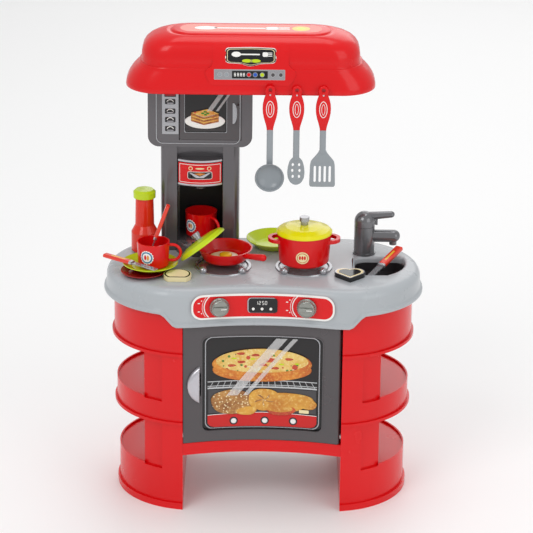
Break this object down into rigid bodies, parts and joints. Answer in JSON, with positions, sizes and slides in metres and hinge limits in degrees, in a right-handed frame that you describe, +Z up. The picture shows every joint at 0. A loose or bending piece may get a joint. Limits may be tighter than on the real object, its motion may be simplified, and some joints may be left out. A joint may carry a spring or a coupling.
{
  "type": "toy kitchen",
  "caption": "Toy kitchen for children: a worktop on two open shelf towers, an oven with a hinged door, a coffee niche, a microwave, a hood with hanging utensils, and loose toy cookware",
  "frame": {"origin": "on the floor under the middle of the overall box", "axes": "+X to the right as a child stands in front of it, -Y to the front, +Z up"},
  "size_m": [0.43, 0.224, 0.63],
  "materials": {
    "red_shell": "glossy moulded plastic",
    "grey_shell": "pale grey moulded plastic",
    "dark_plastic": "dark grey moulded plastic",
    "black_gloss": "glossy black",
    "silver_plastic": "silver coloured plastic",
    "steel": "plain steel",
    "red_ware": "glossy thin plastic",
    "lime_ware": "glossy thin plastic",
    "deep_red_ware": "glossy thin plastic",
    "cream_ware": "satin plastic",
    "black_ware": "glossy thin plastic",
    "utensil_plastic": "silver coloured blades, red handles"
  },
  "bodies": {
    "kitchen": {"cabinet_left": "red_shell", "cabinet_right": "red_shell", "front_rail": "red_shell", "control_panel": "red_shell", "hood_brim": "red_shell", "hood_dome": "red_shell", "hood_plate": "red_shell", "utensil_pegs": "red_shell", "worktop": "grey_shell", "oven_liner": "dark_plastic", "column": "dark_plastic", "column_back": "dark_plastic", "coffee_head": "dark_plastic", "coffee_nozzle": "dark_plastic", "microwave_housing": "dark_plastic", "tap_body": "dark_plastic", "sink_bowl": "dark_plastic", "clock": "black_gloss", "burner_left": "silver_plastic", "burner_right": "silver_plastic", "drip_tray": "silver_plastic", "microwave_keypad": "silver_plastic", "rear_screws": "steel"},
    "oven_door_body": {"oven_door": "dark_plastic", "oven_window": "black_gloss", "oven_handle": "silver_plastic", "oven_hinge_pins": "steel"},
    "microwave_door_body": {"microwave_door": "dark_plastic", "microwave_window": "black_gloss", "microwave_pins": "steel"},
    "knob_left_body": {"knob_left": "silver_plastic", "knob_left_clip": "silver_plastic"},
    "knob_right_body": {"knob_right": "silver_plastic", "knob_right_clip": "silver_plastic"},
    "tap_lever_body": {"tap_lever": "dark_plastic"},
    "pot_body": {"pot": "red_ware"},
    "pot_lid_body": {"pot_lid": "lime_ware", "pot_lid_knob": "silver_plastic"},
    "frying_pan_body": {"frying_pan": "red_ware", "fried_egg": "cream_ware"},
    "pan_lid_body": {"pan_lid": "lime_ware", "pan_lid_knob": "silver_plastic"},
    "bottle_body": {"bottle": "red_ware"},
    "bottle_cap_body": {"bottle_cap": "lime_ware"},
    "plate_red_body": {"plate_red": "deep_red_ware"},
    "plate_green_body": {"plate_green": "lime_ware"},
    "plate_rear_body": {"plate_rear": "lime_ware"},
    "mug_front_body": {"mug_front": "red_ware"},
    "mug_rear_body": {"mug_rear": "red_ware"},
    "knife_in_mug_body": {"knife_in_mug": "utensil_plastic"},
    "knife_on_plate_body": {"knife_on_plate": "utensil_plastic"},
    "cleaver_body": {"cleaver": "utensil_plastic"},
    "dish_round_body": {"dish_round": "cream_ware"},
    "dish_heart_body": {"dish_heart": "black_ware"},
    "ladle_body": {"ladle": "utensil_plastic"},
    "slotted_spoon_body": {"slotted_spoon": "utensil_plastic"},
    "spatula_body": {"spatula": "utensil_plastic"}
  },
  "joints": [
    {"name": "oven_door_turn", "type": "hinge", "parent": "kitchen", "child": "oven_door_body", "pos_m": [0.0997, -0.09678, 0.181], "axis": [0, 0, 1], "range_deg": [0, 90]},
    {"name": "microwave_door_turn", "type": "hinge", "parent": "kitchen", "child": "microwave_door_body", "pos_m": [-0.113, 0.046, 0.5135], "axis": [0, 0, -1], "range_deg": [0, 85]},
    {"name": "knob_left_turn", "type": "hinge", "parent": "kitchen", "child": "knob_left_body", "pos_m": [-0.058, -0.09819, 0.2935], "axis": [0.1606, -0.987, 0], "continuous": true},
    {"name": "knob_right_turn", "type": "hinge", "parent": "kitchen", "child": "knob_right_body", "pos_m": [0.058, -0.09819, 0.2935], "axis": [-0.1606, -0.987, 0], "continuous": true},
    {"name": "tap_lever_turn", "type": "hinge", "parent": "kitchen", "child": "tap_lever_body", "pos_m": [0.1365, 0.043, 0.36], "axis": [0, 0, 1], "range_deg": [-40, 40]},
    {"name": "pot_lift", "type": "slide", "parent": "kitchen", "child": "pot_body", "axis": [0, 0, 1], "range_m": [0, 0.02]},
    {"name": "pot_lid_lift", "type": "slide", "parent": "pot_body", "child": "pot_lid_body", "axis": [0, 0, 1], "range_m": [0, 0.015]},
    {"name": "frying_pan_lift", "type": "slide", "parent": "kitchen", "child": "frying_pan_body", "axis": [0.1701, 0, 0.9854], "range_m": [0, 0.02]},
    {"name": "pan_lid_lift", "type": "slide", "parent": "frying_pan_body", "child": "pan_lid_body", "axis": [0.4983, 0, 0.867], "range_m": [0, 0.015]},
    {"name": "bottle_lift", "type": "slide", "parent": "kitchen", "child": "bottle_body", "axis": [0, 0, 1], "range_m": [0, 0.03]},
    {"name": "bottle_cap_lift", "type": "slide", "parent": "bottle_body", "child": "bottle_cap_body", "axis": [0, 0, 1], "range_m": [0, 0.015]},
    {"name": "plate_red_lift", "type": "slide", "parent": "kitchen", "child": "plate_red_body", "axis": [0, 0, 1], "range_m": [0, 0.02]},
    {"name": "plate_green_lift", "type": "slide", "parent": "plate_red_body", "child": "plate_green_body", "axis": [0, 0, 1], "range_m": [0, 0.02]},
    {"name": "mug_front_lift", "type": "slide", "parent": "plate_green_body", "child": "mug_front_body", "axis": [0, 0, 1], "range_m": [0, 0.02]},
    {"name": "knife_in_mug_lift", "type": "slide", "parent": "mug_front_body", "child": "knife_in_mug_body", "axis": [0.342, 0, 0.9397], "range_m": [0, 0.02]},
    {"name": "knife_on_plate_lift", "type": "slide", "parent": "plate_green_body", "child": "knife_on_plate_body", "axis": [0, 0, 1], "range_m": [0, 0.02]},
    {"name": "mug_rear_lift", "type": "slide", "parent": "kitchen", "child": "mug_rear_body", "axis": [0, 0, 1], "range_m": [0, 0.02]},
    {"name": "plate_rear_lift", "type": "slide", "parent": "kitchen", "child": "plate_rear_body", "axis": [0, 0, 1], "range_m": [0, 0.03]},
    {"name": "dish_round_lift", "type": "slide", "parent": "kitchen", "child": "dish_round_body", "axis": [0.8188, -0.5741, 0], "range_m": [0, 0.01]},
    {"name": "dish_heart_lift", "type": "slide", "parent": "kitchen", "child": "dish_heart_body", "axis": [0, 0, 1], "range_m": [0, 0.02]},
    {"name": "cleaver_lift", "type": "slide", "parent": "kitchen", "child": "cleaver_body", "axis": [0, -0.6, 0.8], "range_m": [0, 0.03]},
    {"name": "ladle_turn", "type": "hinge", "parent": "kitchen", "child": "ladle_body", "pos_m": [0.0066, -0.008, 0.561], "axis": [0, 1, 0], "range_deg": [-1, 30]},
    {"name": "slotted_spoon_turn", "type": "hinge", "parent": "kitchen", "child": "slotted_spoon_body", "pos_m": [0.0416, -0.008, 0.561], "axis": [0, 1, 0], "range_deg": [-1, 1]},
    {"name": "spatula_turn", "type": "hinge", "parent": "kitchen", "child": "spatula_body", "pos_m": [0.0766, -0.008, 0.561], "axis": [0, 1, 0], "range_deg": [-30, 1]}
  ]
}
